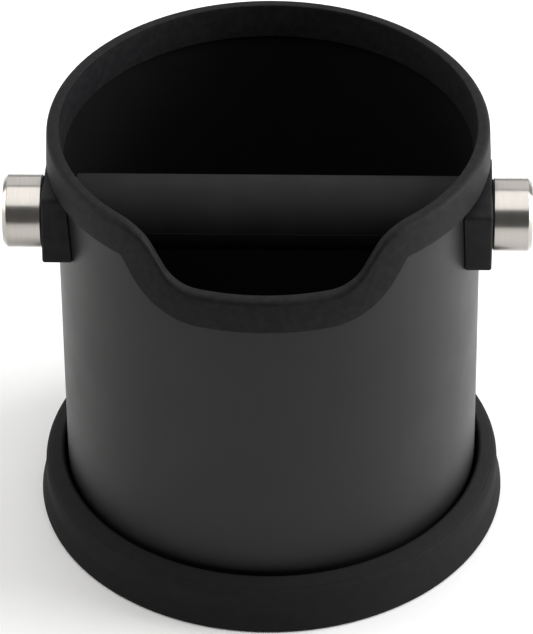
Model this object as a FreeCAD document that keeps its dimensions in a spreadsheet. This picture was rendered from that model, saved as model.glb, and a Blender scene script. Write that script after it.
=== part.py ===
"""Espresso knock box: a round steel can with a rubber-sleeved knock bar across it.

Frame: millimetres, +Z up, origin on the ground under the middle of the can, +X to the right along
the knock bar, and -Y to the front, where the rim dips for the portafilter's handle.
"""
import FreeCAD, Part
import math
import os
import Sketcher

DOC = FreeCAD.newDocument("knock_box")

# ------------------------------------------------------------------ driving dimensions (mm, degrees)
DIMENSIONS = {
    "can_radius": 70.0,
    "can_wall": 1.0,
    "can_corner": 4.0,
    "rim_top": 152.4,
    "gasket_outer": 73.0,
    "gasket_inner": 67.5,
    "gasket_web": 2.0,
    "gasket_band": 12.1,
    "dip_depth": 18.7,
    "dip_half": 28.2,
    "dip_angle": 60.0,
    "dip_round": 12.0,
    "boot_foot": 79.8,
    "boot_waist": 77.9,
    "waist_height": 7.0,
    "boot_shoulder": 77.8,
    "shoulder_height": 15.0,
    "boot_crest": 75.8,
    "crest_height": 16.5,
    "boot_height": 19.4,
    "boot_floor": 3.0,
    "boot_lip": 71.4,
    "boot_seat": 70.2,
    "seat_height": 9.0,
    "boot_round": 4.0,
    "boot_edge": 1.0,
    "bar_back": -13.0,
    "bar_level": 125.3,
    "core_radius": 8.0,
    "core_bore": 6.5,
    "core_half": 76.0,
    "sleeve_radius": 12.5,
    "sleeve_half": 63.0,
    "sleeve_round": 0.8,
    "block_width": 30.5,
    "block_height": 23.5,
    "block_face": 73.4,
    "block_round": 1.0,
    "neck_radius": 10.5,
    "lip_radius": 13.2,
    "lip_face": 63.3,
    "washer_radius": 11.5,
    "washer_start": 73.5,
    "washer_end": 73.8,
    "cap_radius": 12.0,
    "cap_start": 73.9,
    "cap_end": 86.5,
    "cap_recess": 8.3,
    "recess_end": 78.0,
    "cap_round": 1.6,
    "ring_radius": 7.9,
    "ring_start": 76.1,
    "ring_end": 77.9,
    "insert_start": 60.0,
    "stud_radius": 4.0,
    "stud_start": 64.0,
    "stud_end": 84.5,
    "edge_break": 0.4,
    "running_gap": 0.05,
    "fit_gap": 0.15,
}


class Size:
    """A driving dimension, or a sum made from some: its value, and the expression that binds it."""

    def __init__(self, value, text):
        self.value = value
        self.text = text

    def joined(self, sign, other, value):
        text = other.text if isinstance(other, Size) else repr(other)
        return Size(value, f"({self.text} {sign} {text})")

    def __add__(self, other):
        return self.joined("+", other, self.value + number(other))

    def __sub__(self, other):
        return self.joined("-", other, self.value - number(other))

    def __mul__(self, other):
        return self.joined("*", other, self.value * number(other))

    def __neg__(self):
        return Size(-self.value, f"(-{self.text})")


def number(size):
    return size.value if isinstance(size, Size) else float(size)


def make_sheet():
    """Write the driving dimensions into a spreadsheet, one aliased cell each."""
    sheet = DOC.addObject("Spreadsheet::Sheet", "Sizes")
    for row, (alias, value) in enumerate(DIMENSIONS.items(), start=1):
        sheet.set(f"A{row}", alias)
        sheet.set(f"B{row}", str(value))
        sheet.setAlias(f"B{row}", alias)
    DOC.recompute()
    return {alias: Size(value, f"Sizes.{alias}") for alias, value in DIMENSIONS.items()}


S = make_sheet()
WALL_INNER = S["can_radius"] - S["can_wall"]
BAR_CENTRE = (S["bar_back"], S["bar_level"])
FAR = 400.0
CLEAR = 5.0
SIDES = {"left": -1, "right": 1}


# ------------------------------------------------------------------ helpers for bodies and sketches
def new_body(label):
    body = DOC.addObject("PartDesign::Body", label)
    body.Label = label
    return body


def new_sketch(body, plane, name, offset=None):
    """A sketch on one of the body's origin planes, moved along the plane's normal by offset."""
    sketch = body.newObject("Sketcher::SketchObject", name)
    support = next(item for item in body.Origin.OriginFeatures if item.Role == plane)
    sketch.AttachmentSupport = (support, "")
    sketch.MapMode = "FlatFace"
    if offset is not None:
        sketch.setExpression("AttachmentOffset.Base.z", offset.text)
    return sketch


def bind(sketch, kind, place, *where):
    """Add a dimension and bind it to the sheet when its place is made from sheet sizes."""
    index = sketch.addConstraint(Sketcher.Constraint(kind, *where, number(place)))
    if isinstance(place, Size):
        sketch.setExpression(f"Constraints[{index}]", place.text)


def fix_point(sketch, geometry, end, across, up):
    """Hold one point of a geometry at its place from the sketch's origin."""
    for kind, place, axis in (("DistanceX", across, -2), ("DistanceY", up, -1)):
        if number(place) == 0:
            sketch.addConstraint(Sketcher.Constraint("PointOnObject", geometry, end, axis))
        else:
            bind(sketch, kind, place, -1, 1, geometry, end)


def rounding(before, corner, after, radius):
    """Start, middle and end of the round of this radius between a corner's two sides."""
    arriving = (corner - before).normalize()
    leaving = (after - corner).normalize()
    inward = (leaving - arriving).normalize()
    half_turn = arriving.getAngle(leaving) / 2
    reach = radius * math.tan(half_turn)
    middle = corner + inward * (radius / math.cos(half_turn) - radius)
    return corner - arriving * reach, middle, corner + leaving * reach


def draw_outline(sketch, corners):
    """Closed outline through corners (across, up), or (across, up, radius) for a rounded corner."""
    points = [FreeCAD.Vector(number(corner[0]), number(corner[1]), 0) for corner in corners]
    count = len(points)
    rounds = {}
    for index, corner in enumerate(corners):
        if len(corner) == 3:
            after = points[(index + 1) % count]
            rounds[index] = rounding(points[index - 1], points[index], after, number(corner[2]))
    for index in range(count):
        after = (index + 1) % count
        start = rounds[index][2] if index in rounds else points[index]
        end = rounds[after][0] if after in rounds else points[after]
        sketch.addGeometry(Part.LineSegment(start, end), False)
    for index, corner in enumerate(corners):
        if index in rounds:
            join_with_round(sketch, (index - 1) % count, index, corner, rounds[index])
        else:
            sketch.addConstraint(
                Sketcher.Constraint("Coincident", (index - 1) % count, 2, index, 1))
            fix_point(sketch, index, 1, corner[0], corner[1])


def join_with_round(sketch, line_in, line_out, corner, ends):
    """Join two lines by a tangent arc, and hold the corner that the lines would have met at."""
    arc = sketch.addGeometry(Part.Arc(*ends), False)
    first = 1 if sketch.getPoint(arc, 1).distanceToPoint(ends[0]) < 1e-6 else 2
    held = sketch.addGeometry(Part.Point(FreeCAD.Vector(number(corner[0]), number(corner[1]), 0)),
                              True)
    sketch.addConstraint(Sketcher.Constraint("Tangent", line_in, 2, arc, first))
    sketch.addConstraint(Sketcher.Constraint("Tangent", arc, 3 - first, line_out, 1))
    sketch.addConstraint(Sketcher.Constraint("PointOnObject", held, 1, line_in))
    sketch.addConstraint(Sketcher.Constraint("PointOnObject", held, 1, line_out))
    fix_point(sketch, held, 1, corner[0], corner[1])
    bind(sketch, "Radius", corner[2], arc)


def draw_circle(sketch, radius, centre=(0, 0)):
    place = FreeCAD.Vector(number(centre[0]), number(centre[1]), 0)
    circle = sketch.addGeometry(Part.Circle(place, FreeCAD.Vector(0, 0, 1), number(radius)), False)
    bind(sketch, "Radius", radius, circle)
    fix_point(sketch, circle, 3, centre[0], centre[1])


def revolve(body, corners, plane="XZ_Plane", axis="V_Axis"):
    """Turn a half section once around one of its sketch's axes."""
    sketch = new_sketch(body, plane, f"{body.Name}_section")
    draw_outline(sketch, corners)
    feature = body.newObject("PartDesign::Revolution", f"{body.Name}_turned")
    feature.Profile = sketch
    feature.ReferenceAxis = (sketch, [axis])
    feature.Angle = 360.0
    DOC.recompute()


def pad(body, sketch, length, reverse=False):
    feature = body.newObject("PartDesign::Pad", f"{sketch.Name}_pad")
    feature.Profile = sketch
    feature.Reversed = reverse
    feature.setExpression("Length", length.text)
    DOC.recompute()


def pocket_through(body, sketch):
    """Cut the sketch right through the body both ways, and refuse a cut that removes nothing."""
    before = body.Shape.Volume
    feature = body.newObject("PartDesign::Pocket", f"{sketch.Name}_pocket")
    feature.Profile = sketch
    feature.Length = FAR
    feature.Midplane = True
    DOC.recompute()
    if body.Shape.Volume > before - 1:
        raise RuntimeError(f"{feature.Name} removed nothing from {body.Label}")


def round_edges(body, radius, wanted):
    """Fillet every edge of the body's last feature for which wanted(edge) is true."""
    base = body.Tip
    names = [f"Edge{i}" for i, edge in enumerate(base.Shape.Edges, start=1) if wanted(edge)]
    feature = body.newObject("PartDesign::Fillet", f"{body.Name}_rounding")
    feature.Base = (base, names)
    feature.setExpression("Radius", radius.text)
    DOC.recompute()


def cut(label, base, tool):
    feature = DOC.addObject("Part::Cut", label)
    feature.Base = base
    feature.Tool = tool
    feature.Label = label
    DOC.recompute()
    return feature


# ------------------------------------------------------------------ the dip in the front of the rim
def dip_corners(offset):
    """The dip's straight-sided outline, offset below and outside the outline of the gasket's top.

    Gives the half widths at the dip's foot and head, and its lower and upper levels.
    """
    slope = math.radians(DIMENSIONS["dip_angle"])
    foot = S["dip_half"] + offset * math.tan(slope / 2)
    head = foot + S["dip_depth"] * (1 / math.tan(slope))
    high = S["rim_top"] - offset
    return foot, head, high - S["dip_depth"], high


def form_above_dip(label, offset=0.0):
    """Solid that fills everything over the outline, in front of the can's middle."""
    foot, head, low, high = dip_corners(offset)
    hollow = S["dip_round"] + offset
    crown = S["dip_round"] - offset
    wide = S["gasket_outer"] + CLEAR
    over = S["rim_top"] + CLEAR
    body = new_body(label)
    sketch = new_sketch(body, "XZ_Plane", f"{label}_outline")
    draw_outline(sketch, [(-foot, low, hollow), (foot, low, hollow), (head, high, crown),
                          (wide, high), (wide, over), (-wide, over), (-wide, high),
                          (-head, high, crown)])
    pad(body, sketch, wide)
    return body


def form_below_dip(label, offset):
    """Solid that fills everything under the outline: the dip in front, level at the back."""
    foot, head, low, high = dip_corners(offset)
    hollow = S["dip_round"] + offset
    wide = S["gasket_outer"] + CLEAR
    under = low - 2 * CLEAR
    body = new_body(label)
    front = new_sketch(body, "XZ_Plane", f"{label}_front")
    draw_outline(front, [(-wide, under), (wide, under), (wide, high), (head, high),
                         (foot, low, hollow), (-foot, low, hollow), (-head, high), (-wide, high)])
    pad(body, front, wide)
    back = new_sketch(body, "XZ_Plane", f"{label}_back")
    draw_outline(back, [(-wide, under), (wide, under), (wide, high), (-wide, high)])
    pad(body, back, wide, reverse=True)
    return body


# ------------------------------------------------------------------ base boot
def make_base_boot():
    """Thick rubber boot: a floor under the can, and a wall that stands clear of the can's side."""
    body = new_body("base_boot")
    revolve(body, [(0, 0), (S["boot_foot"], 0, S["boot_edge"]), (S["boot_waist"], S["waist_height"]),
                   (S["boot_shoulder"], S["shoulder_height"], S["boot_round"]),
                   (S["boot_crest"], S["crest_height"]),
                   (S["boot_lip"], S["boot_height"], S["boot_edge"]),
                   (S["boot_seat"], S["seat_height"]), (S["boot_seat"], S["boot_floor"]),
                   (0, S["boot_floor"])])
    return body


# ------------------------------------------------------------------ can
def make_can_shell():
    """Drawn steel can with a rounded bottom corner, the dip, and two holes for the bar's mounts."""
    body = new_body("can_form")
    edge_level = S["rim_top"] - S["gasket_web"]
    inside_floor = S["boot_floor"] + S["can_wall"]
    revolve(body, [(0, S["boot_floor"]), (S["can_radius"], S["boot_floor"], S["can_corner"]),
                   (S["can_radius"], edge_level), (WALL_INNER, edge_level),
                   (WALL_INNER, inside_floor, S["can_corner"] - S["can_wall"]),
                   (0, inside_floor)])
    holes = new_sketch(body, "YZ_Plane", "mount_holes")
    draw_circle(holes, S["neck_radius"] + S["running_gap"], BAR_CENTRE)
    pocket_through(body, holes)
    return cut("can_shell", body, form_above_dip("can_dip_form", S["gasket_web"]))


# ------------------------------------------------------------------ rim gasket
def make_ring(label, inner, outer, bottom, top):
    body = new_body(label)
    revolve(body, [(inner, bottom), (outer, bottom), (outer, top), (inner, top)])
    return body


def make_rim_gasket():
    """Rubber channel over the can's edge: a band of even depth that follows the dip."""
    lowest = S["rim_top"] - S["dip_depth"] - S["gasket_band"] - CLEAR
    ring = make_ring("gasket_ring", S["gasket_inner"], S["gasket_outer"], lowest, S["rim_top"])
    topped = cut("gasket_topped", ring, form_above_dip("gasket_dip_form"))
    band = cut("gasket_band_form", topped, form_below_dip("gasket_under_form", S["gasket_band"]))
    slot_offset = S["gasket_web"] - S["fit_gap"]
    slot_ring = make_ring("slot_ring", WALL_INNER - S["fit_gap"], S["can_radius"] + S["fit_gap"],
                          lowest, S["rim_top"] - slot_offset)
    slot = cut("gasket_slot", slot_ring, form_above_dip("slot_dip_form", slot_offset))
    return cut("rim_gasket", band, slot)


# ------------------------------------------------------------------ rubber mounts in the can's wall
def make_block_form(side_name):
    """The rectangular block outside the can, with a hollow back that sits on the can's wall."""
    side = SIDES[side_name]
    half_width = S["block_width"] * 0.5
    half_height = S["block_height"] * 0.5
    front = S["bar_back"] - half_width
    back = S["bar_back"] + half_width
    low = S["bar_level"] - half_height
    high = S["bar_level"] + half_height
    body = new_body(f"{side_name}_block_form")
    block = new_sketch(body, "YZ_Plane", f"{side_name}_block", S["lip_face"] * side)
    draw_outline(block, [(front, low), (back, low), (back, high), (front, high)])
    pad(body, block, S["block_face"] - S["lip_face"], reverse=side < 0)
    saddle = new_sketch(body, "XY_Plane", f"{side_name}_saddle")
    draw_circle(saddle, S["can_radius"] + S["running_gap"])
    pocket_through(body, saddle)
    outer = number(S["block_face"]) * side
    round_edges(body, S["block_round"], lambda edge: all(
        abs(vertex.Point.x - outer) < 0.01 for vertex in edge.Vertexes))
    return body


def make_rod(label, radius, start, end, side):
    """Solid rod on the knock bar's axis, from start to end out from the middle on one side."""
    rod = DOC.addObject("Part::Cylinder", label)
    rod.Placement = FreeCAD.Placement(FreeCAD.Vector(),
                                      FreeCAD.Rotation(FreeCAD.Vector(0, side, 0), 90))
    rod.setExpression("Radius", radius.text)
    rod.setExpression("Height", (end - start).text)
    rod.setExpression("Placement.Base.x", (start * side).text)
    rod.setExpression("Placement.Base.y", S["bar_back"].text)
    rod.setExpression("Placement.Base.z", S["bar_level"].text)
    return rod


def make_mount_block(side_name):
    """Rubber mount: a block outside the can, a neck through its wall, and a lip inside."""
    side = SIDES[side_name]
    inside = DOC.addObject("Part::Cylinder", f"{side_name}_can_inside")
    inside.setExpression("Radius", (WALL_INNER - S["running_gap"]).text)
    inside.setExpression("Height", S["rim_top"].text)
    lip_rod = make_rod(f"{side_name}_lip_rod", S["lip_radius"], S["lip_face"], S["block_face"],
                       side)
    lip = DOC.addObject("Part::Common", f"{side_name}_lip")
    lip.Base = lip_rod
    lip.Tool = inside
    neck = make_rod(f"{side_name}_neck", S["neck_radius"], S["lip_face"],
                    S["block_face"] - S["block_round"], side)
    joined = DOC.addObject("Part::MultiFuse", f"{side_name}_mount_form")
    joined.Shapes = [make_block_form(side_name), neck, lip]
    bore = make_rod(f"{side_name}_mount_bore", S["core_radius"] + S["running_gap"],
                    S["lip_face"] - CLEAR, S["block_face"] + CLEAR, side)
    return cut(f"{side_name}_mount_block", joined, bore)


# ------------------------------------------------------------------ turned parts on the bar's axis
def turned(label, corners, side=1):
    """Part turned about the knock bar's axis from a half section of (out along X, radius)."""
    body = new_body(label)
    yaw = 0 if side > 0 else 180
    body.Placement.Rotation = FreeCAD.Rotation(FreeCAD.Vector(0, 0, 1), yaw)
    body.setExpression("Placement.Base.y", S["bar_back"].text)
    body.setExpression("Placement.Base.z", S["bar_level"].text)
    revolve(body, corners, plane="XY_Plane", axis="H_Axis")
    return body


def make_bar_core():
    """Steel tube right across the can, through both mounts."""
    end = S["core_half"]
    return turned("bar_core", [(-end, S["core_bore"]), (end, S["core_bore"]),
                               (end, S["core_radius"], S["edge_break"]),
                               (-end, S["core_radius"], S["edge_break"])])


def make_bar_sleeve():
    """Thick rubber sleeve that takes the knocks."""
    end = S["sleeve_half"]
    return turned("bar_sleeve", [(-end, S["core_radius"]), (end, S["core_radius"]),
                                 (end, S["sleeve_radius"], S["sleeve_round"]),
                                 (-end, S["sleeve_radius"], S["sleeve_round"])])


def make_insert(side_name):
    """Threaded plug pressed into the end of the tube."""
    hole = S["stud_radius"] + S["running_gap"]
    start = S["insert_start"]
    end = S["core_half"]
    return turned(f"{side_name}_insert", [(start, hole), (end, hole), (end, S["core_bore"]),
                                          (start, S["core_bore"])], SIDES[side_name])


def make_washer(side_name):
    """Thin nylon washer between the rubber mount and the end cap."""
    hole = S["core_radius"] + S["fit_gap"]
    start = S["washer_start"]
    end = S["washer_end"]
    return turned(f"{side_name}_washer", [(start, hole), (end, hole), (end, S["washer_radius"]),
                                          (start, S["washer_radius"])], SIDES[side_name])


def make_lock_ring(side_name):
    """Rubber ring on the stud, squeezed in the cap's recess so that knocks don't loosen it."""
    hole = S["stud_radius"] + S["fit_gap"]
    start = S["ring_start"]
    end = S["ring_end"]
    return turned(f"{side_name}_lock_ring", [(start, hole), (end, hole),
                                             (end, S["ring_radius"], S["edge_break"]),
                                             (start, S["ring_radius"], S["edge_break"])],
                  SIDES[side_name])


def make_stud(side_name):
    """Threaded stud fixed in the cap; its thread stands as a plain rod."""
    start = S["stud_start"]
    end = S["stud_end"]
    return turned(f"{side_name}_stud", [(start, 0), (end, 0), (end, S["stud_radius"]),
                                        (start, S["stud_radius"], S["edge_break"])],
                  SIDES[side_name])


def make_end_cap(side_name):
    """Turned stainless cap, with a recess over the tube's end and a blind hole for its stud."""
    return turned(f"{side_name}_end_cap", [
        (S["cap_start"], S["cap_recess"]), (S["cap_start"], S["cap_radius"], S["edge_break"]),
        (S["cap_end"], S["cap_radius"], S["cap_round"]), (S["cap_end"], 0), (S["stud_end"], 0),
        (S["stud_end"], S["stud_radius"]), (S["recess_end"], S["stud_radius"]),
        (S["recess_end"], S["cap_recess"])], SIDES[side_name])


# ------------------------------------------------------------------ the whole object
def make_nodes():
    nodes = [make_base_boot(), make_can_shell(), make_rim_gasket(), make_bar_core(),
             make_bar_sleeve()]
    for side_name in SIDES:
        nodes.append(make_mount_block(side_name))
        nodes.append(make_insert(side_name))
        nodes.append(make_washer(side_name))
        nodes.append(make_lock_ring(side_name))
        nodes.append(make_stud(side_name))
        nodes.append(make_end_cap(side_name))
    DOC.recompute()
    return nodes


def check(nodes):
    """Refuse a failed object or a broken shape anywhere in the document."""
    for item in DOC.Objects:
        if "Invalid" in item.State or "Error" in item.State:
            raise RuntimeError(f"{item.Label} failed: {item.State}")
    for node in nodes:
        if node.Shape.isNull() or not node.Shape.isValid() or len(node.Shape.Solids) != 1:
            raise RuntimeError(f"{node.Label} has no single valid solid")


def export(nodes):
    os.makedirs("parts", exist_ok=True)
    for node in nodes:
        node.Shape.exportStep(f"parts/{node.Label}.step")
        print(f"{node.Label}: {node.Shape.Volume:.0f} mm3")


NODES = make_nodes()
check(NODES)
export(NODES)
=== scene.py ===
"""Looks of the espresso knock box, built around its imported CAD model. Metres, in the model's frame.

The visible pieces are meshes made here. The can and the rim gasket follow the dip in the front of
the rim, the two mounts are joined from rings of points along the knock bar, and everything else is
turned about the can's axis or about the bar's.
"""
import math

import bmesh
import bpy
from mathutils import Matrix, Vector


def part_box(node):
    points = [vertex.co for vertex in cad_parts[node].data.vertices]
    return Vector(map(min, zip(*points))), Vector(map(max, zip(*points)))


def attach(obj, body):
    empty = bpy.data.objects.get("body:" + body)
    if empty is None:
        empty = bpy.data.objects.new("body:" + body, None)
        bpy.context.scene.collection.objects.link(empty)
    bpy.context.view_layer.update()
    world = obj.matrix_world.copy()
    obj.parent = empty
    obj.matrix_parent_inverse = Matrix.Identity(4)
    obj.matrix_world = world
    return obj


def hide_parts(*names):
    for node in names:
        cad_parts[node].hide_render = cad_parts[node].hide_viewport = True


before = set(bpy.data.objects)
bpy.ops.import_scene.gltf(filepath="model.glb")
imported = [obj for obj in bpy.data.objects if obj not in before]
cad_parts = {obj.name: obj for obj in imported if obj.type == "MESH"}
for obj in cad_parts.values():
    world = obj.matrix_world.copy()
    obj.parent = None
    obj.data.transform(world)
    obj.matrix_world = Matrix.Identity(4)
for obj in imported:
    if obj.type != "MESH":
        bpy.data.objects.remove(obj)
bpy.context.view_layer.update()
MM = 0.001
TURN = 2 * math.pi

# ------------------------------------------------------------------ places and sizes from the frame
CAN_LOW, CAN_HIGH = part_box("can_shell")
GASKET_LOW, GASKET_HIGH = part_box("rim_gasket")
BOOT_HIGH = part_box("base_boot")[1]
CORE_LOW, CORE_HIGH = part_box("bar_core")
BAR_CENTRE = (CORE_LOW + CORE_HIGH) / 2
CORE_RADIUS = CORE_HIGH.z - BAR_CENTRE.z
CORE_BORE = 6.5 * MM
NECK_RADIUS = 10.5 * MM
BLOCK_HEIGHT = 23.5 * MM
RUNNING_GAP = 0.05 * MM
FIT_GAP = 0.15 * MM
CAN_RADIUS = CAN_HIGH.x
CAN_WALL = 1.0 * MM
GASKET_OUTER = GASKET_HIGH.x
GASKET_INNER = GASKET_OUTER - 5.5 * MM
GASKET_BAND = 12.1 * MM
RIM_TOP = GASKET_HIGH.z
DIP_DEPTH = RIM_TOP - GASKET_LOW.z - GASKET_BAND
SIDES = {"left": -1, "right": 1}

# The dip's outline: half its width at the foot, the slope of its flanks, and its rounded corners.
DIP_FOOT = 28.2 * MM
DIP_SLOPE = math.radians(60)
DIP_HOLLOW = 12.0 * MM
DIP_CROWN = 12.5 * MM

# How far the can's own edge lies below the rim's outline, inside the gasket.
EDGE_DEPTH = 2 * MM


# ------------------------------------------------------------------ outlines
def corner_round(before, corner, after, radius, steps):
    """Points along the round of this radius between the two sides of a corner."""
    arriving = (corner - before).normalized()
    leaving = (after - corner).normalized()
    turn = arriving.angle(leaving)
    reach = radius * math.tan(turn / 2)
    centre = corner + (leaving - arriving).normalized() * (radius / math.cos(turn / 2))
    start = corner - arriving * reach - centre
    side = 1 if arriving.cross(leaving) > 0 else -1
    points = []
    for step in range(steps + 1):
        angle = side * turn * step / steps
        points.append(centre + Matrix.Rotation(angle, 2) @ start)
    return points


def outline(corners, steps=6, closed=True):
    """Polyline through corners (across, up), or (across, up, radius) for a rounded corner."""
    places = [Vector(corner[:2]) for corner in corners]
    count = len(corners)
    points = []
    for index, corner in enumerate(corners):
        at_end = not closed and index in (0, count - 1)
        if len(corner) == 3 and not at_end:
            after = places[(index + 1) % count]
            points += corner_round(places[index - 1], places[index], after, corner[2], steps)
        else:
            points.append(places[index])
    return points


# ------------------------------------------------------------------ meshes
def new_piece(name, points, faces, node, body, slot, material, sharp=math.radians(32)):
    """Mesh object with outward normals and crisp edges, which stands for a CAD node."""
    mesh = bpy.data.meshes.new(name)
    work = bmesh.new()
    made = [work.verts.new(point) for point in points]
    for face in faces:
        work.faces.new([made[index] for index in face])
    bmesh.ops.recalc_face_normals(work, faces=work.faces)
    for face in work.faces:
        face.smooth = True
    for edge in work.edges:
        edge.smooth = edge.is_manifold and edge.calc_face_angle() < sharp
    work.to_mesh(mesh)
    work.free()
    mesh.materials.append(material)
    piece = bpy.data.objects.new(name, mesh)
    bpy.context.scene.collection.objects.link(piece)
    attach(piece, body)
    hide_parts(node)
    return piece


def bridge_rings(rings, closed):
    """Quads between successive rings of vertex numbers; a ring of one vertex takes triangles."""
    faces = []
    pairs = list(zip(rings, rings[1:]))
    if closed:
        pairs.append((rings[-1], rings[0]))
    for low, high in pairs:
        count = max(len(low), len(high))
        if count == 1:
            continue
        for index in range(count):
            after = (index + 1) % count
            corners = [low[index % len(low)], low[after % len(low)],
                       high[after % len(high)], high[index % len(high)]]
            faces.append(list(dict.fromkeys(corners)))
    return faces


def number_rings(rings):
    """Points of all rings in one list, and each ring as a list of their numbers."""
    points = []
    numbered = []
    for ring in rings:
        numbered.append(range(len(points), len(points) + len(ring)))
        points += ring
    return points, numbered


def upright(along, radius, angle):
    """Point at a height, radius and angle about the can's axis."""
    return Vector((radius * math.sin(angle), -radius * math.cos(angle), along))


def outward(side):
    """Placing of points about the knock bar's axis, with lengths counted out from the middle."""
    def place(along, radius, angle):
        return BAR_CENTRE + Vector((side * along, -side * radius * math.cos(angle),
                                    radius * math.sin(angle)))
    return place


def lathe(name, profile, place, looks, segments=160, closed=True, shape=None):
    """Turned piece from a profile of (along, radius); looks are its node, body, slot (not used) and
    material.

    shape may change a radius, by its place along the piece and its angle.
    """
    rings = []
    for along, radius in profile:
        if radius == 0:
            rings.append([place(along, 0, 0)])
            continue
        ring = []
        for step in range(segments):
            angle = TURN * step / segments
            reach = shape(along, radius, angle) if shape else radius
            ring.append(place(along, reach, angle))
        rings.append(ring)
    points, numbered = number_rings(rings)
    return new_piece(name, points, bridge_rings(numbered, closed), *looks)


# ------------------------------------------------------------------ the rim's dip
def half_dip():
    """Stations (across, level, tilt) from the dip's middle to where its crown meets the rim."""
    low = RIM_TOP - DIP_DEPTH
    head = DIP_FOOT + DIP_DEPTH / math.tan(DIP_SLOPE)
    hollow_middle = DIP_FOOT - DIP_HOLLOW * math.tan(DIP_SLOPE / 2)
    crown_middle = head + DIP_CROWN * math.tan(DIP_SLOPE / 2)
    floor_steps, arc_steps, flank_steps = 12, 16, 4
    stations = []
    for step in range(floor_steps):
        stations.append((hollow_middle * step / floor_steps, low, 0.0))
    for step in range(arc_steps):
        tilt = DIP_SLOPE * step / arc_steps
        stations.append((hollow_middle + DIP_HOLLOW * math.sin(tilt),
                         low + DIP_HOLLOW * (1 - math.cos(tilt)), tilt))
    start = (hollow_middle + DIP_HOLLOW * math.sin(DIP_SLOPE),
             low + DIP_HOLLOW * (1 - math.cos(DIP_SLOPE)))
    end = (crown_middle - DIP_CROWN * math.sin(DIP_SLOPE),
           RIM_TOP - DIP_CROWN * (1 - math.cos(DIP_SLOPE)))
    for step in range(flank_steps):
        share = step / flank_steps
        stations.append((start[0] + (end[0] - start[0]) * share,
                         start[1] + (end[1] - start[1]) * share, DIP_SLOPE))
    for step in range(arc_steps + 1):
        tilt = DIP_SLOPE * (1 - step / arc_steps)
        stations.append((crown_middle - DIP_CROWN * math.sin(tilt),
                         RIM_TOP - DIP_CROWN * (1 - math.cos(tilt)), tilt))
    return stations


RIM_MIDDLE = (GASKET_OUTER + GASKET_INNER) / 2


def rim_stations(level_steps=110):
    """Stations (angle, level, tilt) once round the rim, from the front and back to it."""
    right = [(math.asin(across / RIM_MIDDLE), level, tilt) for across, level, tilt in half_dip()]
    dip_end = right[-1][0]
    level_part = [(dip_end + (TURN - 2 * dip_end) * step / level_steps, RIM_TOP, 0.0)
                  for step in range(1, level_steps)]
    left = [(TURN - angle, level, -tilt) for angle, level, tilt in reversed(right[1:])]
    return right + level_part + left


STATIONS = rim_stations()

# The rim's sections are ruled up to the first angle from the front, and radial past the second.
RULED_ANGLE = math.radians(42)
RADIAL_ANGLE = math.radians(65)


def rim_point(station, radius, depth):
    """Point at a radius and at a depth below the rim's outline, measured square to the outline.

    In the dip the rim is cut straight from front to back, and beyond it the sections are radial.
    """
    angle, level, tilt = station
    turned = angle if angle < math.pi else angle - TURN
    share = (abs(turned) - RULED_ANGLE) / (RADIAL_ANGLE - RULED_ANGLE)
    share = min(max(share, 0.0), 1.0)
    if share == 1:
        return Vector((radius * math.sin(angle), -radius * math.cos(angle), level - depth))
    share = share * share * (3 - 2 * share)
    reference = RIM_MIDDLE + share * (radius - RIM_MIDDLE)
    across = reference * math.sin(angle) + depth * math.sin(tilt)
    back = -math.sqrt(radius * radius - across * across)
    return Vector((across, back, level - depth * math.cos(tilt)))


# ------------------------------------------------------------------ rim gasket
def make_gasket(material):
    """Rubber channel over the can's edge: a rounded crown, and skirts that flare out and in."""
    slot_inner = CAN_RADIUS - CAN_WALL - FIT_GAP
    slot_outer = CAN_RADIUS + FIT_GAP
    slot_top = EDGE_DEPTH - FIT_GAP
    top_outer = GASKET_OUTER - 0.5 * MM
    top_inner = GASKET_INNER + 1.0 * MM
    foot_inner = GASKET_INNER - 0.2 * MM
    outer_round = 2.0 * MM
    inner_round = 0.5 * MM
    foot_round = 0.35 * MM
    section = outline([
        (GASKET_OUTER, GASKET_BAND, foot_round), (top_outer, 0, outer_round),
        (top_inner, 0, inner_round), (foot_inner, GASKET_BAND, foot_round),
        (slot_inner, GASKET_BAND), (slot_inner, slot_top), (slot_outer, slot_top),
        (slot_outer, GASKET_BAND)], steps=7)
    rings = [[rim_point(station, radius, depth) for station in STATIONS]
             for radius, depth in section]
    points, numbered = number_rings(rings)
    return new_piece("gasket", points, bridge_rings(numbered, closed=True),
                     "rim_gasket", "gasket", "gasket_rubber", material)


# ------------------------------------------------------------------ can
def can_ring(radius, level):
    """One level ring of the can, with a point under every station of its edge."""
    ring = []
    for station in STATIONS:
        edge = rim_point(station, CAN_RADIUS, EDGE_DEPTH)
        ring.append(Vector((edge.x * radius / CAN_RADIUS, edge.y * radius / CAN_RADIUS, level)))
    return ring


def can_wall_rings(radius, level, rows=8):
    """Rings from the can's edge down to a level below the dip."""
    rings = []
    for row in range(rows):
        ring = []
        for station in STATIONS:
            edge = rim_point(station, radius, EDGE_DEPTH)
            ring.append(Vector((edge.x, edge.y, edge.z + (level - edge.z) * row / rows)))
        rings.append(ring)
    return rings


def make_can(material):
    """Drawn can with a rounded bottom corner and the mounts' two holes."""
    below_dip = 0.108
    foot = CAN_LOW.z
    inner = CAN_RADIUS - CAN_WALL
    outer_corner = 4 * MM
    inner_corner = 3 * MM
    outer_foot = outline([(CAN_RADIUS, below_dip), (CAN_RADIUS, foot, outer_corner), (0, foot)],
                         closed=False)
    inner_foot = outline([(0, foot + CAN_WALL), (inner, foot + CAN_WALL, inner_corner),
                          (inner, below_dip)], closed=False)
    rings = can_wall_rings(CAN_RADIUS, below_dip)
    for profile in (outer_foot, inner_foot):
        for radius, level in profile:
            rings.append(can_ring(radius, level) if radius else [Vector((0, 0, level))])
    rings += reversed(can_wall_rings(inner, below_dip))
    points, numbered = number_rings(rings)
    can = new_piece("can", points, bridge_rings(numbered, closed=True),
                    "can_shell", "can", "can_paint", material)
    cut_mount_holes(can)
    return can


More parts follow.
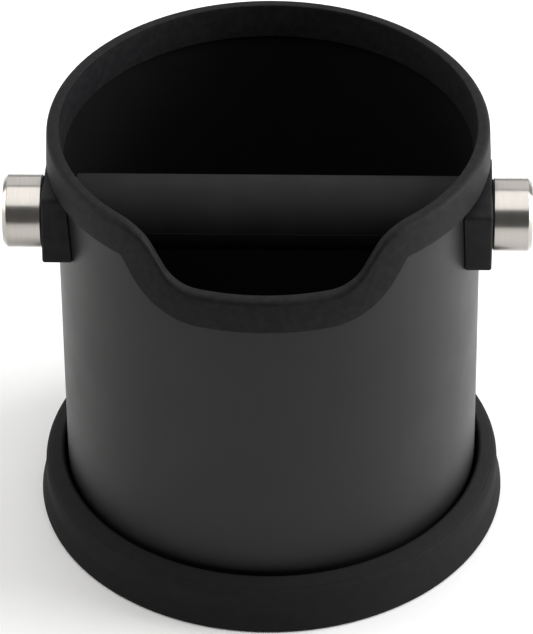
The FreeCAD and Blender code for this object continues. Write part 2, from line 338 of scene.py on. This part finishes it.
def cut_mount_holes(can):
    """Bore the two holes for the rubber mounts' necks through the can's wall."""
    hole_radius = NECK_RADIUS + RUNNING_GAP
    drill_length = 0.3
    bpy.ops.mesh.primitive_cylinder_add(vertices=96, radius=hole_radius, depth=drill_length,
                                        location=BAR_CENTRE, rotation=(0, TURN / 4, 0))
    drill = bpy.context.object
    modifier = can.modifiers.new("holes", "BOOLEAN")
    modifier.operation = "DIFFERENCE"
    modifier.solver = "EXACT"
    modifier.object = drill
    depsgraph = bpy.context.evaluated_depsgraph_get()
    can.data = bpy.data.meshes.new_from_object(can.evaluated_get(depsgraph))
    can.modifiers.clear()
    bpy.data.objects.remove(drill)


# ------------------------------------------------------------------ base boot
def make_boot(material):
    """Thick rubber boot: a flared wall with a soft shoulder, and a top that rises to the lip."""
    # The foot's and the lip's corners lie outside the CAD's size, and their rounds bring them back.
    foot = BOOT_HIGH.x + 0.25 * MM
    waist = foot - 1.9 * MM
    waist_level = 7 * MM
    shoulder = foot - 2.0 * MM
    crest = foot - 4.0 * MM
    ledge = crest + 0.5 * MM
    groove = 0.22 * MM
    lip = 71.4 * MM
    lip_level = BOOT_HIGH.z + 0.5 * MM
    crest_level = lip_level - 2.8 * MM
    shoulder_level = crest_level - 1.5 * MM
    ledge_level = crest_level - 0.3 * MM
    seat = 70.2 * MM
    seat_top = seat + 0.05 * MM
    seat_level = 9 * MM
    floor_level = 3 * MM
    broad_round = 4 * MM
    seat_round = 2 * MM
    edge_round = 1.0 * MM
    ledge_round = 0.3 * MM
    groove_round = 0.2 * MM
    profile = outline([
        (0, 0), (foot, 0, edge_round), (waist, waist_level, broad_round),
        (shoulder, shoulder_level, broad_round), (ledge, ledge_level, ledge_round),
        (crest + groove, crest_level - groove, groove_round),
        (crest, crest_level + groove, ledge_round), (lip, lip_level, edge_round),
        (seat_top, seat_level, seat_round), (seat, floor_level), (0, floor_level)], closed=False)
    turned = [(level, radius) for radius, level in profile]
    return lathe("boot", turned, upright, ("base_boot", "base", "boot_rubber", material),
                 segments=256, closed=False)


# ------------------------------------------------------------------ rubber mounts
# The soft blocks sit turned a little about the bar, each its own way; more lifts the front.
BLOCK_TURN = {"left": math.radians(9.5), "right": math.radians(-5.0)}


def rectangle_ring(half_width, half_height, radius, turn):
    """Points (across, up) of a turned rectangle with rounded corners, from one side's middle."""
    corners = [(half_width, 0), (half_width, half_height, radius),
               (-half_width, half_height, radius), (-half_width, -half_height, radius),
               (half_width, -half_height, radius)]
    rough = outline(corners)
    spacing = 1.5 * MM
    points = []
    for index, point in enumerate(rough):
        after = rough[(index + 1) % len(rough)]
        pieces = max(1, round((after - point).length / spacing))
        points += [point.lerp(after, step / pieces) for step in range(pieces)]
    turned = Matrix.Rotation(-turn, 2)
    return [turned @ point for point in points]


def circle_ring(radius, like):
    """Points of a circle at the same angles as the points of another ring."""
    return [point.normalized() * radius for point in like]


def wall_reach(point, radius):
    """Distance from the can's middle plane to a cylinder about its axis, level with a point."""
    return math.sqrt(radius * radius - (BAR_CENTRE.y + point.x) ** 2)


def make_mount(side_name, material):
    """Rubber mount: block with softened edges, neck through the wall, lip inside, and bore."""
    side = SIDES[side_name]
    turn = BLOCK_TURN[side_name]
    low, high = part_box(f"{side_name}_mount_block")
    face = max(abs(low.x), abs(high.x))
    lip_face = min(abs(low.x), abs(high.x))
    half_width = (high.y - low.y) / 2
    half_height = BLOCK_HEIGHT / 2
    corner = 1.3 * MM
    softness = 0.9 * MM
    heel = 0.45 * MM
    lip_radius = (high.z - low.z) / 2
    lip_round = 1.5 * MM
    mouth_round = 0.6 * MM
    base = rectangle_ring(half_width, half_height, corner, turn)
    heel_ring = rectangle_ring(half_width - heel, half_height - heel, corner - heel, turn)
    bore = circle_ring(CORE_RADIUS + RUNNING_GAP, base)
    bore_mouth = circle_ring(CORE_RADIUS + mouth_round, base)
    neck = circle_ring(NECK_RADIUS, base)
    lip = circle_ring(lip_radius, base)
    lip_soft = circle_ring(lip_radius - lip_round, base)
    saddle = CAN_RADIUS + RUNNING_GAP
    lining = CAN_RADIUS - CAN_WALL - RUNNING_GAP

    def level(points, reach):
        """Ring of (point, distance from the can's middle plane); reach is a number or a rule."""
        return [(point, reach(point) if callable(reach) else reach) for point in points]

    rings = [level(neck, lambda point: wall_reach(point, saddle)),
             level(heel_ring, lambda point: wall_reach(point, saddle)),
             level(base, lambda point: wall_reach(point, saddle) + heel)]
    round_steps = 6
    for step in range(round_steps + 1):
        angle = TURN / 4 * step / round_steps
        inset = softness * (1 - math.cos(angle))
        ring = rectangle_ring(half_width - inset, half_height - inset, corner - inset, turn)
        rings.append(level(ring, face - softness + softness * math.sin(angle)))
    rings += [level(bore_mouth, face), level(bore, face - mouth_round),
              level(bore, lip_face), level(lip_soft, lip_face), level(lip, lip_face + lip_round),
              level(lip, lambda point: wall_reach(point, lining)),
              level(neck, lambda point: wall_reach(point, lining))]
    placed = [[BAR_CENTRE + Vector((side * along, point.x, point.y)) for point, along in ring]
              for ring in rings]
    points, numbered = number_rings(placed)
    return new_piece(f"{side_name}_mount", points, bridge_rings(numbered, closed=True),
                     f"{side_name}_mount_block", "can", "block_rubber", material)


# ------------------------------------------------------------------ knock bar
RIDGE_HEIGHT = 0.12 * MM


def seamed(along, radius, angle):
    """The sleeve's radius, with the fine ridge that its mould's two halves left."""
    ridge_half = 0.3 * MM
    half_turn = math.pi
    distance = abs((angle + half_turn / 2) % half_turn - half_turn / 2) * radius
    return radius + RIDGE_HEIGHT * max(0.0, 1 - distance / ridge_half)


def reach_of(node):
    """Nearest and furthest distance of a node of one side from the middle plane."""
    low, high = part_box(node)
    return sorted((abs(low.x), abs(high.x)))


def radius_of(node):
    """Radius of a node that is turned about the knock bar's axis."""
    low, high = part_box(node)
    return (high.z - low.z) / 2


def make_sleeve(material):
    """Thick rubber tube that takes the knocks, from one mount to the other."""
    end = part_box("bar_sleeve")[1].x
    radius = radius_of("bar_sleeve") - RIDGE_HEIGHT
    soft = 0.9 * MM
    profile = outline([(-end, CORE_RADIUS), (end, CORE_RADIUS), (end, radius, soft),
                       (-end, radius, soft)])
    return lathe("sleeve", profile, outward(1), ("bar_sleeve", "knock_bar", "sleeve_rubber",
                                                 material), segments=360, shape=seamed)


def make_core(material):
    """Steel tube that carries the sleeve and runs through both mounts."""
    end = CORE_HIGH.x
    inner_break = 0.2 * MM
    outer_break = 0.4 * MM
    profile = outline([(-end, CORE_BORE, inner_break), (end, CORE_BORE, inner_break),
                       (end, CORE_RADIUS, outer_break), (-end, CORE_RADIUS, outer_break)])
    return lathe("core", profile, outward(1), ("bar_core", "knock_bar", "bar_steel", material))


def make_insert(side_name, material):
    """Plug in the tube's end, with the hole that the stud screws into."""
    start, end = reach_of(f"{side_name}_insert")
    hole = radius_of(f"{side_name}_stud") + RUNNING_GAP
    lead_in = 0.35 * MM
    edge_break = 0.2 * MM
    profile = outline([(start, hole), (end, hole, lead_in), (end, CORE_BORE, edge_break),
                       (start, CORE_BORE)])
    return lathe(f"{side_name}_insert_plug", profile, outward(SIDES[side_name]),
                 (f"{side_name}_insert", "knock_bar", "bar_steel", material))


def make_washer(side_name, material):
    """Thin nylon disc between the mount's block and the end cap."""
    start, end = reach_of(f"{side_name}_washer")
    radius = radius_of(f"{side_name}_washer")
    hole = CORE_RADIUS + FIT_GAP
    soft = 0.1 * MM
    profile = outline([(start, hole, soft), (end, hole, soft),
                       (end, radius, soft), (start, radius, soft)], steps=3)
    return lathe(f"{side_name}_nylon_washer", profile, outward(SIDES[side_name]),
                 (f"{side_name}_washer", "knock_bar", "washer_nylon", material))


def make_lock_ring(side_name, material):
    """Rubber ring on the stud, inside the cap's recess."""
    start, end = reach_of(f"{side_name}_lock_ring")
    radius = radius_of(f"{side_name}_lock_ring")
    hole = radius_of(f"{side_name}_stud") + FIT_GAP
    soft = 0.7 * MM
    profile = outline([(start, hole, soft), (end, hole, soft),
                       (end, radius, soft), (start, radius, soft)])
    return lathe(f"{side_name}_rubber_ring", profile, outward(SIDES[side_name]),
                 (f"{side_name}_lock_ring", f"{side_name}_ring", "block_rubber", material))


def make_stud(side_name, material):
    """Stud with a real M8 thread over the length that screws into the bar."""
    start, end = reach_of(f"{side_name}_stud")
    crest = radius_of(f"{side_name}_stud")
    pitch = 1.25 * MM
    depth = 0.7 * MM
    flank_slope = 2.5
    lead = 0.6 * MM
    run_out = 0.3 * MM
    threaded = start + 12.5 * MM

    def threaded_radius(along, radius, angle):
        if along > threaded or radius < crest:
            return radius
        phase = (along / pitch - angle / TURN) % 1
        flank = min(abs(phase - 0.5) * flank_slope, 1.0)
        return radius - depth * flank

    rows = 100
    length = threaded - start - lead
    profile = [(start, 0), (start, crest - depth - run_out)]
    profile += [(start + lead + length * row / rows, crest) for row in range(rows + 1)]
    profile += [(threaded + run_out, crest), (end, crest), (end, 0)]
    return lathe(f"{side_name}_threaded_stud", profile, outward(SIDES[side_name]),
                 (f"{side_name}_stud", f"{side_name}_cap", "bar_steel", material),
                 segments=64, closed=False, shape=threaded_radius)


def make_cap(side_name, material):
    """Turned cap: a chamfered end, a recess for the rubber ring, and a seat for the stud."""
    start, end = reach_of(f"{side_name}_end_cap")
    radius = radius_of(f"{side_name}_end_cap")
    recess = radius_of(f"{side_name}_lock_ring") + 0.4 * MM
    recess_end = reach_of(f"{side_name}_lock_ring")[1] + 0.1 * MM
    seat = radius_of(f"{side_name}_stud")
    seat_end = reach_of(f"{side_name}_stud")[1]
    chamfer = 1.3 * MM
    chamfer_round = 0.5 * MM
    edge_break = 0.3 * MM
    profile = outline([
        (end, 0), (end, radius - chamfer, edge_break), (end - chamfer, radius, chamfer_round),
        (start, radius, edge_break), (start, recess, edge_break), (recess_end, recess),
        (recess_end, seat), (seat_end, seat), (seat_end, 0)], closed=False)
    return lathe(f"{side_name}_cap_shell", profile, outward(SIDES[side_name]),
                 (f"{side_name}_end_cap", f"{side_name}_cap", "cap_steel", material),
                 segments=200, closed=False)


# ------------------------------------------------------------------ materials
def start_material(name, roughness, metallic=0.0, specular=0.5):
    """New material; gives it with its node tree and its Principled shader."""
    material = bpy.data.materials.new(name)
    material.use_nodes = True
    tree = material.node_tree
    shader = tree.nodes["Principled BSDF"]
    shader.inputs["Roughness"].default_value = roughness
    shader.inputs["Metallic"].default_value = metallic
    shader.inputs["Specular IOR Level"].default_value = specular
    return material, tree, shader


def object_noise(tree, scale, detail, stretch=(1, 1, 1)):
    """Noise over the piece's own coordinates, which may be stretched; gives its value socket."""
    place = tree.nodes.new("ShaderNodeTexCoord")
    mapping = tree.nodes.new("ShaderNodeMapping")
    mapping.inputs["Scale"].default_value = stretch
    noise = tree.nodes.new("ShaderNodeTexNoise")
    noise.inputs["Scale"].default_value = scale
    noise.inputs["Detail"].default_value = detail
    tree.links.new(place.outputs["Object"], mapping.inputs["Vector"])
    tree.links.new(mapping.outputs["Vector"], noise.inputs["Vector"])
    return noise.outputs["Fac"]


def ramp(tree, value, stops):
    """Colour ramp over a value; stops are (place, grey or colour)."""
    node = tree.nodes.new("ShaderNodeValToRGB")
    band = node.color_ramp
    while len(band.elements) < len(stops):
        band.elements.new(0.5)
    for element, (place, colour) in zip(band.elements, stops):
        element.position = place
        grey = (colour, colour, colour) if isinstance(colour, float) else colour
        element.color = (*grey, 1)
    tree.links.new(value, node.inputs["Fac"])
    return node.outputs["Color"]


def add_bump(tree, shader, value, distance, strength):
    """Fine relief on the material's surface, from a value socket."""
    bump = tree.nodes.new("ShaderNodeBump")
    bump.inputs["Distance"].default_value = distance
    bump.inputs["Strength"].default_value = strength
    tree.links.new(value, bump.inputs["Height"])
    tree.links.new(bump.outputs["Normal"], shader.inputs["Normal"])


def mix_colours(tree, share, first, second, blend="MIX"):
    """Mix two colours by a share; each is a socket or a colour."""
    node = tree.nodes.new("ShaderNodeMix")
    node.data_type = "RGBA"
    node.blend_type = blend
    for value, socket in ((share, "Factor"), (first, "A"), (second, "B")):
        if isinstance(value, bpy.types.NodeSocket):
            tree.links.new(value, node.inputs[socket])
        elif socket == "Factor":
            node.inputs[socket].default_value = value
        else:
            node.inputs[socket].default_value = (*value, 1)
    return node.outputs["Result"]


def dust_specks(tree, size, share):
    """Mask of a few tiny specks, one at most in each cell of this size."""
    place = tree.nodes.new("ShaderNodeTexCoord")
    cells = tree.nodes.new("ShaderNodeTexVoronoi")
    cells.inputs["Scale"].default_value = 1 / size
    tree.links.new(place.outputs["Object"], cells.inputs["Vector"])
    near = ramp(tree, cells.outputs["Distance"], [(0.03, 1.0), (0.10, 0.0)])
    few = ramp(tree, cells.outputs["Color"], [(1 - share, 0.0), (1 - share + 0.01, 1.0)])
    return mix_colours(tree, 1.0, near, few, "MULTIPLY")


def can_paint():
    """Satin black powder paint: a very fine grain, faint cloudiness, and an even sheen."""
    material, tree, shader = start_material("can_paint", 0.42, specular=0.265)
    cloud = object_noise(tree, 18, 3)
    tree.links.new(ramp(tree, cloud, [(0.3, (0.0062, 0.0062, 0.0064)),
                                      (0.7, (0.0078, 0.0077, 0.0077))]),
                   shader.inputs["Base Color"])
    tree.links.new(ramp(tree, object_noise(tree, 60, 3), [(0.3, 0.40), (0.7, 0.45)]),
                   shader.inputs["Roughness"])
    add_bump(tree, shader, object_noise(tree, 1500, 2), 0.02 * MM, 0.35)
    return material


def rubber(name, dark, light, roughness, specular, cloud_scale, grain, specks):
    """Black rubber: cloudy bloom on its surface, a fine grain, and a few specks of dust."""
    material, tree, shader = start_material(name, roughness, specular=specular)
    cloud = ramp(tree, object_noise(tree, cloud_scale, 5), [(0.40, 0.0), (0.64, 1.0)])
    fine = ramp(tree, object_noise(tree, 900, 3), [(0.3, 0.75), (0.7, 1.0)])
    bloom = mix_colours(tree, 1.0, cloud, fine, "MULTIPLY")
    colour = mix_colours(tree, bloom, dark, light)
    cell_size = 3.2 * MM
    dust_colour = (0.10, 0.10, 0.095)
    dusty = mix_colours(tree, dust_specks(tree, cell_size, specks), colour, dust_colour)
    tree.links.new(dusty, shader.inputs["Base Color"])
    add_bump(tree, shader, object_noise(tree, 700, 3), 0.05 * MM, grain)
    return material


def turned_steel(name, colour, roughness, ring_strength):
    """Stainless steel turned about the knock bar's axis: fine rings, which blur along the axis."""
    material, tree, shader = start_material(name, roughness, metallic=1.0)
    shader.inputs["Anisotropic"].default_value = 0.35
    shader.inputs["Anisotropic Rotation"].default_value = 0.25
    tangent = tree.nodes.new("ShaderNodeTangent")
    tangent.direction_type = "RADIAL"
    tangent.axis = "X"
    tree.links.new(tangent.outputs["Tangent"], shader.inputs["Tangent"])
    smudge = ramp(tree, object_noise(tree, 130, 4), [(0.3, roughness * 0.85),
                                                     (0.75, roughness * 1.3)])
    tree.links.new(smudge, shader.inputs["Roughness"])
    rings = object_noise(tree, 1, 3, stretch=(5200, 60, 60))
    shade = tuple(part * 0.93 for part in colour)
    tree.links.new(ramp(tree, rings, [(0.35, shade), (0.65, colour)]), shader.inputs["Base Color"])
    add_bump(tree, shader, rings, 0.01 * MM, ring_strength)
    return material


def nylon():
    """Black nylon with a faint moulded texture."""
    material, tree, shader = start_material("washer_nylon", 0.5, specular=0.3)
    tree.links.new(ramp(tree, object_noise(tree, 400, 2), [(0.3, 0.006), (0.7, 0.010)]),
                   shader.inputs["Base Color"])
    add_bump(tree, shader, object_noise(tree, 900, 2), 0.03 * MM, 0.3)
    return material


# ------------------------------------------------------------------ studio
def floor_material():
    """Pale seamless paper with the slightest tooth."""
    material, tree, shader = start_material("studio_paper", 0.9, specular=0.1)
    tree.links.new(ramp(tree, object_noise(tree, 30, 2), [(0.3, 0.94), (0.7, 0.96)]),
                   shader.inputs["Base Color"])
    return material


def make_floor():
    """Pale floor that the object stands on."""
    mesh = bpy.data.meshes.new("studio_floor")
    half = 3.0
    front = -1.6
    corners = [(-half, front, 0), (half, front, 0), (half, half, 0), (-half, half, 0)]
    mesh.from_pydata(corners, [], [(0, 1, 2, 3)])
    mesh.materials.append(floor_material())
    floor = bpy.data.objects.new("studio_floor", mesh)
    bpy.context.scene.collection.objects.link(floor)


def add_softbox(name, place, size, radiance, colour=(1, 1, 1)):
    """Rectangular soft light that faces the middle of the can."""
    data = bpy.data.lights.new(name, "AREA")
    data.shape = "RECTANGLE"
    data.size, data.size_y = size
    data.energy = radiance * math.pi * size[0] * size[1]
    data.color = colour
    light = bpy.data.objects.new(name, data)
    light.location = place
    aim = Vector((0, 0, RIM_TOP / 2)) - Vector(place)
    light.rotation_euler = aim.to_track_quat("-Z", "Y").to_euler()
    light.visible_camera = False
    bpy.context.scene.collection.objects.link(light)


def make_world():
    """Neutral room, dimmer in front of the object and brighter behind it."""
    world = bpy.data.worlds.new("studio")
    world.use_nodes = True
    tree = world.node_tree
    background = tree.nodes["Background"]
    place = tree.nodes.new("ShaderNodeTexCoord")
    split = tree.nodes.new("ShaderNodeSeparateXYZ")
    remap = tree.nodes.new("ShaderNodeMapRange")
    remap.inputs["From Min"].default_value = -1
    tree.links.new(place.outputs["Generated"], split.inputs["Vector"])
    tree.links.new(split.outputs["Y"], remap.inputs["Value"])
    tree.links.new(ramp(tree, remap.outputs["Result"], [(0.10, 0.35), (0.42, 0.85)]),
                   background.inputs["Color"])
    background.inputs["Strength"].default_value = 0.36
    bpy.context.scene.world = world


def add_camera():
    """Camera at the viewpoint that shows the can from above its front, slightly from the right."""
    azimuth = math.radians(1.8)
    elevation = math.radians(37.78)
    roll = math.radians(-0.60)
    distance = 1.501
    target = Vector((-1.2 * MM, 0, 71.8 * MM))
    back = Vector((math.sin(azimuth) * math.cos(elevation),
                   -math.cos(azimuth) * math.cos(elevation), math.sin(elevation)))
    data = bpy.data.cameras.new("camera")
    data.sensor_fit = "VERTICAL"
    data.sensor_height = 36
    data.lens = 252.4
    camera = bpy.data.objects.new("camera", data)
    camera.location = target + back * distance
    facing = back.to_track_quat("Z", "Y").to_matrix()
    camera.rotation_euler = (facing @ Matrix.Rotation(roll, 3, "Z")).to_euler()
    bpy.context.scene.collection.objects.link(camera)
    bpy.context.scene.camera = camera


def make_studio():
    """Floor, room and soft lights, with the plain view transform."""
    make_floor()
    make_world()
    add_softbox("overhead", place=(0, -0.15, 1.3), size=(1.1, 1.5), radiance=1.75)
    add_softbox("back", place=(0, 1.1, 0.85), size=(2.4, 1.2), radiance=0.85)
    add_softbox("right", place=(1.15, 0.15, 0.55), size=(0.9, 1.1), radiance=7.3)
    add_softbox("left", place=(-1.2, 0.25, 0.5), size=(0.9, 0.9), radiance=2.85,
                colour=(1, 0.965, 0.92))
    bpy.context.scene.view_settings.view_transform = "Standard"


# ------------------------------------------------------------------ the whole object
def make_object():
    """Every piece of the object, with its material."""
    gasket_rubber = rubber(
        "gasket_rubber", dark=(0.0098, 0.0100, 0.0112), light=(0.0148, 0.0149, 0.0156),
        roughness=0.56, specular=0.08, cloud_scale=420, grain=0.9, specks=0.10)
    boot_rubber = rubber(
        "boot_rubber", dark=(0.0138, 0.0139, 0.0148), light=(0.0158, 0.0159, 0.0168),
        roughness=0.66, specular=0.04, cloud_scale=300, grain=0.5, specks=0.04)
    block_rubber = rubber(
        "block_rubber", dark=(0.0082, 0.0085, 0.0096), light=(0.0150, 0.0153, 0.0165),
        roughness=0.6, specular=0.13, cloud_scale=200, grain=0.8, specks=0.10)
    sleeve_rubber = rubber(
        "sleeve_rubber", dark=(0.0080, 0.0082, 0.0090), light=(0.0110, 0.0110, 0.0116),
        roughness=0.75, specular=0.17, cloud_scale=80, grain=0.4, specks=0.10)
    bar_steel = turned_steel(
        "bar_steel", colour=(0.55, 0.54, 0.52), roughness=0.3, ring_strength=0.5)
    cap_steel = turned_steel(
        "cap_steel", colour=(0.46, 0.435, 0.405), roughness=0.22, ring_strength=0.4)
    washer = nylon()
    make_boot(boot_rubber)
    make_can(can_paint())
    make_gasket(gasket_rubber)
    make_core(bar_steel)
    make_sleeve(sleeve_rubber)
    for side_name in SIDES:
        make_mount(side_name, block_rubber)
        make_insert(side_name, bar_steel)
        make_washer(side_name, washer)
        make_lock_ring(side_name, block_rubber)
        make_stud(side_name, bar_steel)
        make_cap(side_name, cap_steel)


add_camera()
make_object()
make_studio()
